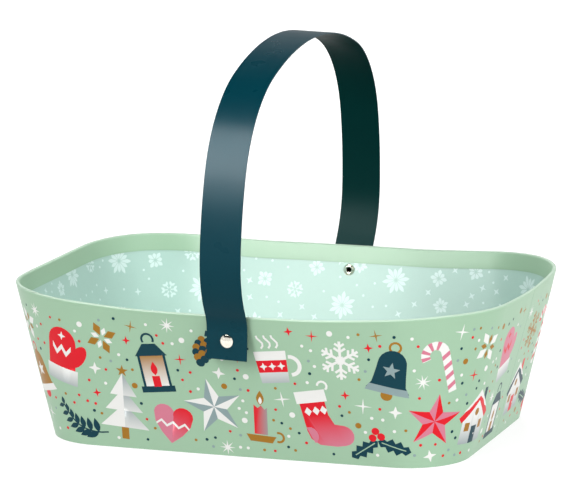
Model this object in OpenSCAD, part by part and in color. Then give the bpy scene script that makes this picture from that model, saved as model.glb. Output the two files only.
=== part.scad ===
// A rectangular garden trug with leaning walls and a swinging strap handle.
// The body is greyboard: one strip bent round into the wall, and one plate for the base.
// A printed paper wraps the outside, turns in over the rim and turns under the base.
// The strap handle turns on two tubular rivets, one through the middle of each long side.
// Frame: X along the length, Y across the width, Z up, origin on the table under the middle.

/* [Body] */
// Length over the rim, at the height of its corners
rim_length = 361; // [330:1:400]
// Width over the rim, at the height of its corners
rim_width = 269.5; // [250:0.5:290]
// Radius of the rim's corners, outside
rim_corner = 76; // [60:1:90]
// Angle that each half of a long side of the rim bows through
rim_long_bow = 6.9; // [3:0.1:9]
// Angle that each half of a short side of the rim bows through
rim_short_bow = 4.8; // [2:0.1:7]
// Length over the foot
foot_length = 302; // [280:1:325]
// Width over the foot
foot_width = 205; // [190:1:225]
// Radius of the foot's corners, outside
foot_corner = 43; // [30:1:55]
// Angle that each half of a long side of the foot bows through
foot_long_bow = 1.1; // [0.2:0.1:2]
// Angle that each half of a short side of the foot bows through
foot_short_bow = 0.3; // [0.2:0.1:1]
// Height of the rim at its highest places, by the corners
corner_height = 109.4; // [95:0.1:125]
// Place of those highest places round the rim, as an angle from the short sides
rim_peak = 40; // [35:1:48]
// Angle from there to the level stretch along a long side
fall_angle = 35; // [25:1:40]
// How much lower the rim is along the middle of a long side
long_dip = 4.7; // [0:0.1:10]
// How much lower the rim is at the middle of a short side
short_dip = 1.4; // [0:0.1:6]

/* [Board and paper] */
// Thickness of the greyboard wall
wall_board_t = 2; // [1.5:0.1:3]
// Thickness of the greyboard base
base_board_t = 2; // [1.5:0.1:3]
// Thickness of each sheet of paper
paper_t = 0.25; // [0.15:0.05:0.4]
// Film of glue between two glued sheets
glue_t = 0.02; // [0.01:0.01:0.05]
// Height of the wrap's turned-in band, down from the rim
turn_in = 12.4; // [8:0.1:20]
// Width of the wrap's turned-under edge below the base
turn_under = 14; // [10:1:20]
// How far the paper over the underside stops short of the foot's edge
cover_inset = 4; // [2:0.5:8]
// Gap where the two ends of the wall strip butt together
butt_gap = 0.4; // [0.2:0.1:1]
// Distance of that butt joint from the middle of the short side, towards the front
butt_offset = 2; // [-30:1:30]
// Gap round the base board, inside the wall
base_gap = 0.2; // [0.1:0.05:0.4]
// Gap between the edges of two sheets that meet
sheet_gap = 0.3; // [0.1:0.1:1]

/* [Handle] */
// Width of the strap
strap_w = 29; // [22:1:34]
// Thickness of the strap
strap_t = 0.9; // [0.6:0.1:1.5]
// Height of the crown of the strap above its pivot
handle_rise = 190.6; // [175:0.1:215]
// Height of the widest place of the strap above its pivot
widest_rise = 57.3; // [50:0.1:70]
// How far the strap swells out between a lug and the widest place
handle_flare = 15.6; // [10:0.1:20]
// Radius of the strap's shoulders, outside
shoulder_r = 87.2; // [80:0.1:95]
// Angle that the strap turns through above the widest place, before a shoulder
side_angle = 14.9; // [12:0.1:20]
// Angle that the strap turns through between a shoulder and the crown
crown_angle = 20.7; // [18:0.1:25]
// Radius of the bend above a lug, outside
lug_bend_r = 23.6; // [15:0.1:35]
// Length of the strap below the pivot
lug_tail = 12.9; // [10:0.1:16]
// Length of the flat lug above the pivot
lug_rise = 5.5; // [5:0.1:8]
// Angle that the handle leans off upright as it stands, towards the right
rest_lean = 1.6; // [-5:0.1:5]

/* [Pivots] */
// Depth of the pivots below the rim, at the middle of a long side
pivot_drop = 17.2; // [15:0.1:22]
// How far the pivots sit from the middle of the long sides, towards the right
pivot_shift = 3.5; // [0:0.1:5]
// Gap between the wall and a lug, at the pivot
standoff = 4.7; // [4.6:0.1:6]
// Diameter of a rivet's head
head_d = 9.2; // [8:0.1:10]
// Height of the dome on a rivet's head
head_dome = 1.9; // [1.5:0.1:2.5]
// Height of the straight edge of a rivet's head
head_edge = 0.4; // [0.2:0.1:0.8]
// Diameter of a rivet's shank
shank_d = 4.6; // [4:0.1:5]
// Wall thickness of the tubular end of a rivet
tube_t = 0.45; // [0.3:0.05:0.6]
// Length of solid shank under a rivet's head
solid_shank = 2.2; // [1.5:0.1:3]
// Radius of the rolled end's section
roll_r = 0.65; // [0.5:0.05:0.8]
// Diameter of a washer
washer_d = 8.4; // [7.5:0.1:9.5]
// Thickness of a washer
washer_t = 0.5; // [0.3:0.1:0.8]
// How deep a washer is pressed into the lining, at its middle
washer_bed = 0.5; // [0.3:0.1:0.8]
// Diameter of the collar that holds a lug off the wall
collar_d = 8; // [7:0.1:9]
// Radial running clearance of a lug on its rivet
pivot_clear = 0.08; // [0.05:0.01:0.1]
// Free play along a rivet, on each side of a lug
pivot_play = 0.1; // [0.05:0.05:0.2]
// Radial clearance of a rivet in the board, a collar or a washer
seat_clear = 0.03; // [0.02:0.01:0.05]
// Radial clearance round a washer in its bed
bed_clear = 0.15; // [0.1:0.05:0.3]

/* [Smoothness] */
// Steps round each corner of the body
corner_steps = 16; // [8:1:20]
// Steps over each bowed stretch beside a corner
bow_steps = 5; // [3:1:8]
// Steps over each half of the nearly straight stretch of a side
flat_steps = 3; // [2:1:6]
// Steps over the rim's rounding
rim_steps = 6; // [4:1:8]
// Steps along each arc of the strap
strap_steps = 12; // [8:1:20]

/* [Hidden] */
$fn = 64;

// Overrun of every cut past the surface that it opens
overrun = 1;

// Depths into the wall, square to its outer face
wrap_in = paper_t;
board_out = wrap_in + glue_t;
board_in = board_out + wall_board_t;
lining_out = board_in + glue_t;
lining_in = lining_out + paper_t;
band_out = lining_in + glue_t;
rim_t = band_out + paper_t;

// Heights of the layers of the base
wrap_z = paper_t + glue_t;
base_z = wrap_z + paper_t + glue_t;
base_top = base_z + base_board_t;
floor_z = base_top + glue_t;

// The wall's lean at the middle of a long side, as run over rise, and the angle
long_lean = (rim_width - foot_width) / 2 / corner_height;
lean_angle = atan(long_lean);
function square_to(lean) = sqrt(1 + lean * lean);
// Place across the width of a surface at a depth into the long wall, at a height
function wall_y(z, depth) = foot_width / 2 + long_lean * z - depth * square_to(long_lean);

// Pivots
pivot_z = corner_height - long_dip - pivot_drop;
collar_y = wall_y(pivot_z, 0);
lug_in = collar_y + standoff;
lug_out = lug_in + strap_t;
head_y = lug_out + pivot_play;
bed_y = wall_y(pivot_z, lining_in) + washer_bed;
roll_y = bed_y - washer_t - roll_r;
shank_r = shank_d / 2;
tube_r = shank_r - tube_t;

// Parts of a list
function but_last(list) = [for (i = [0 : len(list) - 2]) list[i]];
function backwards(list) = [for (i = [len(list) - 1 : -1 : 0]) list[i]];
function last(list) = list[len(list) - 1];

// An outline of four corner arcs joined by four bowed sides, each side one wide arc.
// Its shape holds the half length, half width, corner radius and the two bow angles, and then
// how much longer the radius of a long side and of a short side is than that of a corner.
function outline_shape(half_l, half_w, r, long_bow, short_bow) =
    let (far_long = 1 - cos(long_bow), far_short = 1 - cos(short_bow),
         scale_of = sin(long_bow) * sin(short_bow) - far_long * far_short)
    [half_l, half_w, r, long_bow, short_bow,
     ((half_l - r) * sin(short_bow) - (half_w - r) * far_short) / scale_of,
     ((half_w - r) * sin(long_bow) - (half_l - r) * far_long) / scale_of];

// The outline's point where it faces a given way, that way as an angle from +X
function outline_at(shape, turn) =
    let (u = cos(turn), v = sin(turn), m = atan2(abs(v), abs(u)), r = shape[2],
         long_r = shape[5] + r, short_r = shape[6] + r,
         p = m < shape[4] ? [shape[0] - short_r + short_r * abs(u), short_r * abs(v)]
           : m > 90 - shape[3] ? [long_r * abs(u), shape[1] - long_r + long_r * abs(v)]
           : [shape[5] * sin(shape[3]) + r * abs(u), shape[6] * sin(shape[4]) + r * abs(v)])
    [u < 0 ? -p.x : p.x, v < 0 ? -p.y : p.y];

rim_shape = outline_shape(rim_length / 2, rim_width / 2, rim_corner, rim_long_bow, rim_short_bow);
foot_shape = outline_shape(foot_length / 2, foot_width / 2, foot_corner, foot_long_bow, foot_short_bow);

// The ways that the wall faces, once round, closest together in the corners
function steps(from, to, n) = [for (i = [1 : n]) from + (to - from) * i / n];
quarter = concat([0],
                 steps(0, foot_short_bow, flat_steps),
                 steps(foot_short_bow, rim_short_bow, bow_steps),
                 steps(rim_short_bow, 90 - rim_long_bow, corner_steps),
                 steps(90 - rim_long_bow, 90 - foot_long_bow, bow_steps),
                 steps(90 - foot_long_bow, 90, flat_steps));
turns = concat([for (m = but_last(quarter)) m],
               [for (m = but_last(backwards(quarter))) 180 - m],
               [for (m = but_last(quarter)) 180 + m],
               [for (m = but_last(backwards(quarter))) 360 - m]);

// A column joins the foot and the rim where both face the same way, so the wall can be unrolled
columns = [for (turn = turns) [outline_at(foot_shape, turn), outline_at(rim_shape, turn), [cos(turn), sin(turn)]]];

// The rim is highest by its corners and dips along each side
function ease(share) = share <= 0 ? 0 : share >= 1 ? 1 : share * share * (3 - 2 * share);
function rim_turn(p) = atan2(abs(p.y) / rim_width, abs(p.x) / rim_length);
function rim_z(p) =
    corner_height
    - long_dip * ease((rim_turn(p) - rim_peak) / fall_angle)
    - short_dip * ease((rim_peak - rim_turn(p)) / rim_peak);

// A section point holds a depth into the wall, a height, and whether that height counts from the rim
function column_lean(col) = (col[1] - col[0]) * col[2] / corner_height;
function wall_point(col, depth, z) =
    let (p = col[0] + (col[1] - col[0]) * z / corner_height - col[2] * depth * square_to(column_lean(col)))
    [p.x, p.y, z];
function section_point(col, s) = wall_point(col, s[0], s[1] + (s[2] ? rim_z(col[1]) : 0));
function rim_arc(middle, r, from, to) =
    [for (i = [0 : rim_steps])
        let (a = from + (to - from) * i / rim_steps)
        [middle - r * cos(a), r * sin(a) - rim_t / 2, true]];

// A closed section carried round the wall
module wall_ring(section) {
    n = len(columns);
    m = len(section);
    points = [for (col = columns) for (s = section) section_point(col, s)];
    faces = [for (i = [0 : n - 1]) for (j = [0 : m - 1])
        let (near = i * m, far = ((i + 1) % n) * m, up = (j + 1) % m)
        each [[near + j, near + up, far + up], [near + j, far + up, far + j]]];
    polyhedron(points = points, faces = faces, convexity = 10);
}

// A flat sheet or board that follows the inside of the wall at a depth
module floor_plate(depth, z, t) {
    translate([0, 0, z])
        linear_extrude(t)
            polygon([for (col = columns) let (p = wall_point(col, depth, z)) [p.x, p.y]]);
}

// Moves a piece drawn round the origin onto the pivot line
module on_pivots() {
    translate([pivot_shift, 0, pivot_z]) children();
}

// A round cut along the pivot line, through both long walls
module pivot_hole(r) {
    on_pivots()
        rotate([90, 0, 0])
            cylinder(h = rim_width + 2 * standoff + 2 * handle_flare, r = r, center = true);
}

// The space that the two washers are pressed into, from the inside
module washer_beds() {
    on_pivots()
        rotate([90, 0, 0])
            cylinder(h = 2 * bed_y, r = washer_d / 2 + bed_clear, center = true);
}

// Lays a piece that was drawn upright along the pivot line, in its place on the back wall
module at_back() {
    on_pivots() rotate([-90, 0, 0]) children();
}

// The same piece on the front wall
module at_front() {
    on_pivots() rotate([0, 0, 180]) rotate([-90, 0, 0]) children();
}

// Wall: one strip of board bent round, its ends butted on a short side
module wall_board() {
    middle = (board_out + board_in) / 2;
    color([0.72, 0.66, 0.56])
        difference() {
            wall_ring(concat(
                [[board_out, base_z, false]],
                rim_arc(middle, wall_board_t / 2, 0, 180),
                [[board_in, base_z, false]]));
            pivot_hole(shank_r + seat_clear);
            washer_beds();
            translate([foot_length / 2 - foot_corner, -butt_offset - butt_gap / 2, -overrun])
                cube([rim_length / 2, butt_gap, corner_height + 2 * overrun]);
        }
}

// Base: one plate of board inside the foot of the wall
module base_board() {
    color([0.70, 0.64, 0.54])
        floor_plate(board_in + base_gap, base_z, base_board_t);
}

// Printed wrap: outside of the wall, over the rim into a band, and under the base
module outer_wrap() {
    color([0.62, 0.75, 0.62])
        difference() {
            wall_ring(concat(
                [[turn_under, wrap_z, false], [0, wrap_z, false]],
                rim_arc(rim_t / 2, rim_t / 2, 0, 180),
                [[rim_t, -turn_in, true], [band_out, -turn_in, true]],
                rim_arc(rim_t / 2, rim_t / 2 - paper_t, 180, 0),
                [[wrap_in, wrap_z + paper_t, false], [turn_under, wrap_z + paper_t, false]]));
            pivot_hole(shank_r + seat_clear);
        }
}

// Lining paper on the inside of the wall, its top edge under the band
module wall_lining() {
    color([0.80, 0.91, 0.87])
        difference() {
            wall_ring([
                [lining_out, floor_z, false],
                [lining_out, -rim_t / 2, true],
                [lining_in, -rim_t / 2, true],
                [lining_in, floor_z, false]]);
            pivot_hole(shank_r + seat_clear);
            washer_beds();
        }
}

// Lining paper on the floor
module base_lining() {
    color([0.78, 0.90, 0.85])
        floor_plate(lining_in + sheet_gap, floor_z, paper_t);
}

// Paper over the underside, which covers the wrap's turned-under edge
module base_cover() {
    color([0.60, 0.73, 0.60])
        floor_plate(cover_inset, 0, paper_t);
}

// The strap's outer face is a chain of arcs that starts from the pivot's height,
// each point with its place and its heading off upright
function turned(p, to, r) =
    let (sense = to > p[2] ? 1 : -1)
    [for (i = [1 : strap_steps])
        let (h = p[2] + (to - p[2]) * i / strap_steps)
        [p[0] + sense * r * (cos(p[2]) - cos(h)), p[1] + sense * r * (sin(h) - sin(p[2])), h]];

// Turn and radii that carry the strap from a lug to its widest place
waist_rise = widest_rise - lug_rise;
waist_turn = 2 * atan(handle_flare / waist_rise);
waist_r = waist_rise / sin(waist_turn) - lug_bend_r;
// Radii that carry it on from there to a level crown
reach = lug_out + handle_flare;
shoulder_end = 90 - crown_angle;
crown_slope = tan(crown_angle / 2);
shoulder_in = shoulder_r * (cos(side_angle) - cos(shoulder_end));
shoulder_up = shoulder_r * (sin(shoulder_end) - sin(side_angle));
side_r = (handle_rise - widest_rise - shoulder_up - crown_slope * (reach - shoulder_in))
    / (sin(side_angle) - crown_slope * (1 - cos(side_angle)));
crown_r = (reach - shoulder_in - side_r * (1 - cos(side_angle))) / sin(crown_angle);

lug_end = [lug_out, -lug_tail, 0];
lug_top = [lug_out, lug_rise, 0];
bend_run = turned(lug_top, waist_turn, lug_bend_r);
waist_run = turned(last(bend_run), 0, waist_r);
side_run = turned(last(waist_run), -side_angle, side_r);
shoulder_run = turned(last(side_run), -shoulder_end, shoulder_r);
crown_run = turned(last(shoulder_run), -90, crown_r);
half_strap = concat([lug_end, lug_top], bend_run, waist_run, side_run, shoulder_run, crown_run);
function at_depth(p, t) = [p[0] - t * cos(p[2]), p[1] + t * sin(p[2])];
function across(list) = [for (i = [len(list) - 1 : -1 : 0]) [-list[i].x, list[i].y]];
outer_half = [for (p = half_strap) at_depth(p, 0)];
inner_half = [for (p = half_strap) at_depth(p, strap_t)];

// Handle: one flat strap bent to an arch, with a lug at each end, square to the pivots,
// drawn as it stands by itself, a little off upright
module handle_strap() {
    color([0.10, 0.26, 0.30])
        difference() {
            on_pivots()
                rotate([0, rest_lean, 0])
                    rotate([90, 0, 90])
                        linear_extrude(strap_w, center = true)
                            polygon(concat(but_last(outer_half), across(outer_half),
                                           backwards(across(inner_half)), backwards(but_last(inner_half))));
            pivot_hole(shank_r + pivot_clear);
        }
}

// Rivet: a low domed head, a shank with a bore in its inner end, and the end rolled over a washer
module rivet() {
    dome_r = (head_d * head_d / 4 + head_dome * head_dome) / (2 * head_dome);
    color([0.80, 0.78, 0.72])
        rotate_extrude() {
            difference() {
                union() {
                    translate([0, head_y]) square([head_d / 2, head_edge]);
                    intersection() {
                        translate([0, head_y + head_edge + head_dome - dome_r]) circle(dome_r);
                        translate([0, head_y + head_edge]) square([head_d / 2, head_dome]);
                    }
                    translate([0, roll_y]) square([shank_r, head_y - roll_y + head_edge]);
                }
                translate([0, roll_y - overrun]) square([tube_r, head_y - solid_shank - roll_y + overrun]);
            }
            translate([tube_r + roll_r, roll_y]) circle(roll_r);
        }
}

// Washer under the rolled end, pressed into the lining
module washer() {
    color([0.74, 0.73, 0.70])
        translate([0, 0, bed_y - washer_t])
            difference() {
                cylinder(h = washer_t, d = washer_d);
                translate([0, 0, -overrun]) cylinder(h = washer_t + 2 * overrun, r = shank_r + seat_clear);
            }
}

// Collar between the wall and a lug, its inner end cut to the wall's lean
module collar() {
    length = lug_in - pivot_play - collar_y;
    color([0.20, 0.22, 0.22])
        difference() {
            translate([0, 0, collar_y - collar_d / 2]) cylinder(h = length + collar_d / 2, d = collar_d);
            translate([0, 0, collar_y - collar_d]) cylinder(h = length + 2 * collar_d, r = shank_r + seat_clear);
            translate([0, 0, collar_y + glue_t])
                rotate([-lean_angle, 0, 0])
                    translate([-collar_d, -collar_d, -2 * collar_d])
                        cube([2 * collar_d, 2 * collar_d, 2 * collar_d]);
        }
}

module front_rivet() { at_front() rivet(); }
module back_rivet() { at_back() rivet(); }
module front_collar() { at_front() collar(); }
module back_collar() { at_back() collar(); }
module front_washer() { at_front() washer(); }
module back_washer() { at_back() washer(); }

wall_board();
base_board();
outer_wrap();
wall_lining();
base_lining();
base_cover();
handle_strap();
front_rivet();
back_rivet();
front_collar();
back_collar();
front_washer();
back_washer();
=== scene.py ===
# %% [markdown]
# # A printed board trug with a strap handle
# The real object is made the way a good gift box is: a strip of greyboard is bent round into a
# leaning wall, a plate of board closes the foot, and papers are glued over everything. A printed
# paper covers the outside, folds over the rim and shows inside as a narrow plain band. A pale
# snowflake paper lines the inside. A strap handle turns on two tubular rivets.
# The solids come packed from the CAD source. This lesson dresses them: it draws the two prints,
# rounds the strap's edges, gives each piece its finish, and sets up light, floor and camera.

# %% The frame, loaded first
import math
import random
import bpy
from mathutils import Matrix, Vector
from mathutils.geometry import delaunay_2d_cdt
from mathutils.kdtree import KDTree


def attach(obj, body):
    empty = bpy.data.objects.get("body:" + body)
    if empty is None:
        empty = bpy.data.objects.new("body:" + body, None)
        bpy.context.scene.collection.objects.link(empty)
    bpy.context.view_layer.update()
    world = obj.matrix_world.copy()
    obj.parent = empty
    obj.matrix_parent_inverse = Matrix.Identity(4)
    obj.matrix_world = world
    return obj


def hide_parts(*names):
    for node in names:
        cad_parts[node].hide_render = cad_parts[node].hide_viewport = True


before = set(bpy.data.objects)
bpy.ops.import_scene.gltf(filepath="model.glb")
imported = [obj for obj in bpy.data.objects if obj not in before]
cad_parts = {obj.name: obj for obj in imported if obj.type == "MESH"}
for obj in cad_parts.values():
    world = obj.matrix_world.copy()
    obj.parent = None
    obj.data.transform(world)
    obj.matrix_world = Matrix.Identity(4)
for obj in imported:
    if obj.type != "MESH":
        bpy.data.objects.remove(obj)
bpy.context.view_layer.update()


def put_in_scene(name, data):
    """Makes an object of some data and puts it in the scene."""
    obj = bpy.data.objects.new(name, data)
    bpy.context.scene.collection.objects.link(obj)
    return obj


print("CAD pieces:", sorted(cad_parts))

# %% [markdown]
# ## The camera
# The photograph was taken a little from the right and above, from nearly three metres away with a
# long lens. Those numbers come from a fit of the rim, the foot, the rivets and the handle, so they
# are written here as named values, and nothing else in this lesson depends on them.

# %% Camera at the photograph's place
PHOTO_WIDE = 578
FOCAL_PIXELS = 4033
AZIMUTH, ELEVATION, ROLL = math.radians(19.455), math.radians(10.828), math.radians(-0.516)
DISTANCE = 2.8276
LOOK_AT = Vector((0.00128, 0, 0.13084))
SENSOR_MM = 36

toward_camera = Vector((math.sin(AZIMUTH) * math.cos(ELEVATION),
                        -math.cos(AZIMUTH) * math.cos(ELEVATION), math.sin(ELEVATION)))
level = Vector((math.cos(AZIMUTH), math.sin(AZIMUTH), 0))
upward = toward_camera.cross(level)
picture_right = level * math.cos(ROLL) + upward * math.sin(ROLL)
picture_up = upward * math.cos(ROLL) - level * math.sin(ROLL)
camera_data = bpy.data.cameras.new("camera")
camera_data.sensor_width = SENSOR_MM
camera_data.lens = FOCAL_PIXELS / PHOTO_WIDE * SENSOR_MM
camera_data.clip_start, camera_data.clip_end = 0.1, 60
camera = put_in_scene("camera", camera_data)
camera.matrix_world = (Matrix.Translation(LOOK_AT + toward_camera * DISTANCE)
                       @ Matrix((picture_right, picture_up, toward_camera)).transposed().to_4x4())
bpy.context.scene.camera = camera
print("lens, mm:", round(camera_data.lens, 1), "camera at", [round(x, 3) for x in camera.location])

# %% [markdown]
# ## Where the wall is
# A print has to lie exactly on the wall, so the wall's shape is worked out again here with the same
# sizes as the CAD source, in millimetres. The foot and the rim are outlines of four corner arcs
# joined by four wide arcs. A column is a straight line up the wall that joins the two outlines where
# both face the same way. Because of that, the strip of wall between two columns is flat, and the
# whole wall can be unrolled without stretching, as the real paper was before it was glued on.

# %% The wall's sizes and outlines
MM = 0.001
RIM_LENGTH, RIM_WIDTH, RIM_CORNER = 361, 269.5, 76
RIM_LONG_BOW, RIM_SHORT_BOW = 6.9, 4.8
FOOT_LENGTH, FOOT_WIDTH, FOOT_CORNER = 302, 205, 43
FOOT_LONG_BOW, FOOT_SHORT_BOW = 1.1, 0.3
CORNER_HEIGHT, LONG_DIP, SHORT_DIP = 109.4, 4.7, 1.4
RIM_PEAK, FALL_ANGLE = 40, 35
FLAT_STEPS, BOW_STEPS, CORNER_STEPS = 3, 5, 16
SLANT = 1.04  # length up the slope for each millimetre of height
PAPER, GLUE, BOARD = 0.25, 0.02, 2
TURN_IN, TURN_UNDER = 12.4, 14
LINING_OUT = PAPER + GLUE + BOARD + GLUE
LINING_IN = LINING_OUT + PAPER
BAND_OUT = LINING_IN + GLUE
RIM_THICK = BAND_OUT + PAPER
WRAP_Z = PAPER + GLUE
FLOOR_Z = WRAP_Z + PAPER + GLUE + BOARD + GLUE
PIVOT_X, PIVOT_Z = 3.5, 87.5


def outline_shape(half_l, half_w, corner, long_bow, short_bow):
    """An outline's sizes: half length, half width, corner radius, bow angles and added radii."""
    lb, sb = math.radians(long_bow), math.radians(short_bow)
    far_l, far_s = 1 - math.cos(lb), 1 - math.cos(sb)
    scale = math.sin(lb) * math.sin(sb) - far_l * far_s
    add_l = ((half_l - corner) * math.sin(sb) - (half_w - corner) * far_s) / scale
    add_s = ((half_w - corner) * math.sin(lb) - (half_l - corner) * far_l) / scale
    return half_l, half_w, corner, lb, sb, add_l, add_s


def outline_at(shape, turn):
    """The place on an outline where it faces a given way."""
    half_l, half_w, r, lb, sb, add_l, add_s = shape
    u, v = math.cos(turn), math.sin(turn)
    way = math.atan2(abs(v), abs(u))
    if way < sb:
        p = (half_l - (add_s + r) * (1 - abs(u)), (add_s + r) * abs(v))
    elif way > math.pi / 2 - lb:
        p = ((add_l + r) * abs(u), half_w - (add_l + r) * (1 - abs(v)))
    else:
        p = (add_l * math.sin(lb) + r * abs(u), add_s * math.sin(sb) + r * abs(v))
    return Vector((math.copysign(p[0], u), math.copysign(p[1], v)))


RIM_SHAPE = outline_shape(RIM_LENGTH / 2, RIM_WIDTH / 2, RIM_CORNER, RIM_LONG_BOW, RIM_SHORT_BOW)
FOOT_SHAPE = outline_shape(FOOT_LENGTH / 2, FOOT_WIDTH / 2, FOOT_CORNER, FOOT_LONG_BOW, FOOT_SHORT_BOW)


def even(start, end, count):
    return [start + (end - start) * (i + 1) / count for i in range(count)]


quarter = ([0] + even(0, FOOT_SHORT_BOW, FLAT_STEPS) + even(FOOT_SHORT_BOW, RIM_SHORT_BOW, BOW_STEPS)
           + even(RIM_SHORT_BOW, 90 - RIM_LONG_BOW, CORNER_STEPS)
           + even(90 - RIM_LONG_BOW, 90 - FOOT_LONG_BOW, BOW_STEPS)
           + even(90 - FOOT_LONG_BOW, 90, FLAT_STEPS))
turns = (quarter[:-1] + [180 - m for m in quarter[:0:-1]]
         + [180 + m for m in quarter[:-1]] + [360 - m for m in quarter[:0:-1]])
columns = [(outline_at(FOOT_SHAPE, math.radians(t)), outline_at(RIM_SHAPE, math.radians(t)),
            Vector((math.cos(math.radians(t)), math.sin(math.radians(t))))) for t in turns]
COUNT = len(columns)
print("columns round the wall:", COUNT)

# %% Points on the wall at any depth and height
def ease(share):
    """A smooth way from 0 to 1, level at both ends."""
    share = min(max(share, 0), 1)
    return share * share * (3 - 2 * share)


def rim_z(column):
    """The rim's height, highest by the corners and dipping along each side."""
    rim = column[1]
    way = math.degrees(math.atan2(abs(rim.y) / RIM_WIDTH, abs(rim.x) / RIM_LENGTH))
    return (CORNER_HEIGHT - LONG_DIP * ease((way - RIM_PEAK) / FALL_ANGLE)
            - SHORT_DIP * ease((RIM_PEAK - way) / RIM_PEAK))


def lean_of(column):
    """How far the wall goes outwards for each millimetre that it rises."""
    return (column[1] - column[0]).dot(column[2]) / CORNER_HEIGHT


def wall_point(column, depth, z):
    """A point of the wall on a column, at a depth square to the outer face and at a height."""
    foot, rim, facing = column
    p = foot + (rim - foot) * (z / CORNER_HEIGHT) - facing * depth * math.hypot(1, lean_of(column))
    return Vector((p.x, p.y, z))


def outward(column):
    """The way that the wall's outer face looks, the same all the way up a column."""
    return Vector((column[2].x, column[2].y, -lean_of(column))).normalized()


print("rim height, mm: corner", round(max(rim_z(c) for c in columns), 1),
      "long side", round(rim_z(columns[COUNT // 4]), 1))

# %% [markdown]
# ## Unrolling the wall
# Each strip between two columns is laid flat beside the one before it, touching along their shared
# column. The result is a curved fan, the same shape that a paper cutter's die has for this trug.
# A motif drawn on the fan keeps its true size and shape on the wall.

# %% The unrolled sheet
class Unrolled:
    """The wall's surface at one depth, laid flat, with the way back to the wall."""

    def __init__(self, depth, low, high):
        self.facets, self.foot_sums, self.rim_sums = [], [0], [0]
        start, left_way = Vector((0, 0)), math.pi / 2
        for i in range(COUNT):
            near, far = columns[i], columns[(i + 1) % COUNT]
            a, b = wall_point(near, depth, 0), wall_point(far, depth, 0)
            c, d = wall_point(far, depth, CORNER_HEIGHT), wall_point(near, depth, CORNER_HEIGHT)
            across = (b - a).normalized()
            rise = d - a
            up = (rise - across * rise.dot(across)).normalized()
            turn = left_way - math.atan2(rise.dot(up), rise.dot(across))
            g1, g2 = Vector((math.cos(turn), math.sin(turn))), Vector((-math.sin(turn), math.cos(turn)))
            self.facets.append((a, across, up, start, g1, g2, near, far))
            start = start + g1 * (b - a).length
            left_way = turn + math.atan2((c - b).dot(up), (c - b).dot(across))
            self.foot_sums.append(self.foot_sums[-1] + (b - a).length)
            self.rim_sums.append(self.rim_sums[-1] + (c - d).length)
        self.depth, self.low, self.high = depth, low, high
        self.along = self.sums(0.5)
        self.round = self.along[-1]
        self.ends = [self.column_ends(i, columns[i]) for i in range(COUNT)]
        self.ends.append(self.column_ends(COUNT - 1, columns[0]))

    def sums(self, t):
        """How far round each column stands, at a share of the height."""
        return [a * (1 - t) + b * t for a, b in zip(self.foot_sums, self.rim_sums)]

    def flat(self, i, p):
        """The flat place of a point on facet i."""
        a, across, up, start, g1, g2, near, far = self.facets[i]
        return start + g1 * (p - a).dot(across) + g2 * (p - a).dot(up)

    def column_ends(self, i, column):
        """The flat places where a column beside facet i meets the sheet's two edges."""
        return [self.flat(i, wall_point(column, self.depth, edge(column))) for edge in (self.low, self.high)]

    def quad(self, i):
        """Facet i's four corners on the flat sheet; facets side by side share theirs exactly."""
        return [self.ends[i][0], self.ends[i + 1][0], self.ends[i + 1][1], self.ends[i][1]]

    def share(self, i, p):
        """How far a flat point lies across facet i and between the two edges, each from 0 to 1."""
        a, across, up, start, g1, g2, near, far = self.facets[i]
        solid = a + across * (p - start).dot(g1) + up * (p - start).dot(g2)
        left, right = wall_point(near, self.depth, solid.z), wall_point(far, self.depth, solid.z)
        w = (solid - left).dot(right - left) / (right - left).length_squared
        low = self.low(near) * (1 - w) + self.low(far) * w
        high = self.high(near) * (1 - w) + self.high(far) * w
        return w, (solid.z - low) / (high - low)

    def stand(self, along, height):
        """The flat place, and which way is up there, of a height up the slope at a distance round.

        The distance is the one halfway up the wall, so that motifs above each other keep together."""
        z = height / SLANT
        sums = self.sums(z / CORNER_HEIGHT)
        target = along / self.round % 1 * sums[-1]
        i = max(k for k in range(COUNT) if sums[k] <= target)
        w = (target - sums[i]) / (sums[i + 1] - sums[i])
        near, far = (wall_point(c, self.depth, z) for c in self.facets[i][6:])
        return self.flat(i, near.lerp(far, w)), self.facets[i][5]


def on_wall(i, w, s, depth, low, high):
    """The solid place across facet i and between two edges, at a depth."""
    near, far = columns[i], columns[(i + 1) % COUNT]
    z = (low(near) * (1 - w) + low(far) * w) * (1 - s) + (high(near) * (1 - w) + high(far) * w) * s
    return wall_point(near, depth, z).lerp(wall_point(far, depth, z), w)


def rim_edge(column):
    return rim_z(column) - RIM_THICK / 2


outside = Unrolled(0, lambda c: WRAP_Z, rim_edge)
inside = Unrolled(LINING_IN, lambda c: FLOOR_Z, rim_edge)
spread = [outside.quad(i)[k] for i in range(COUNT) for k in range(4)]
print("outside paper: %.0f mm round, flat sheet %.0f x %.0f mm" % (
    outside.round, max(p.x for p in spread) - min(p.x for p in spread),
    max(p.y for p in spread) - min(p.y for p in spread)))

# %% [markdown]
# ## Inks and outlines
# A printed motif is a few flat patches of ink with crisp edges. A noise or wave texture can't draw
# a mitten, and picture files are left out on purpose, so each patch is an outline of points, made by
# a handful of small drawing functions. Inks are given as screen colours and turned into the linear
# values that Blender mixes.

# %% Inks
def ink(red, green, blue):
    return tuple((c / 255 / 12.92) if c <= 10 else ((c / 255 + 0.055) / 1.055) ** 2.4
                 for c in (red, green, blue))


SAGE = ink(138, 167, 142)
WHITE = ink(202, 202, 199)
SMOKE = ink(124, 136, 138)
RED = ink(190, 20, 33)
PINK = ink(181, 106, 124)
GOLD = ink(140, 98, 30)
TEAL = ink(5, 50, 61)
BLUE = ink(120, 138, 139)
MINT = ink(153, 180, 171)
FROST = ink(184, 203, 199)
# The next ink is a paler sage, put along the rim's fold as a painted highlight.
FOLD_HIGHLIGHT = ink(162, 182, 165)
print("ground ink:", [round(c, 3) for c in SAGE])


# %% Outlines
def polar(r, turn):
    return Vector((r * math.cos(math.radians(turn)), r * math.sin(math.radians(turn))))


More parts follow.
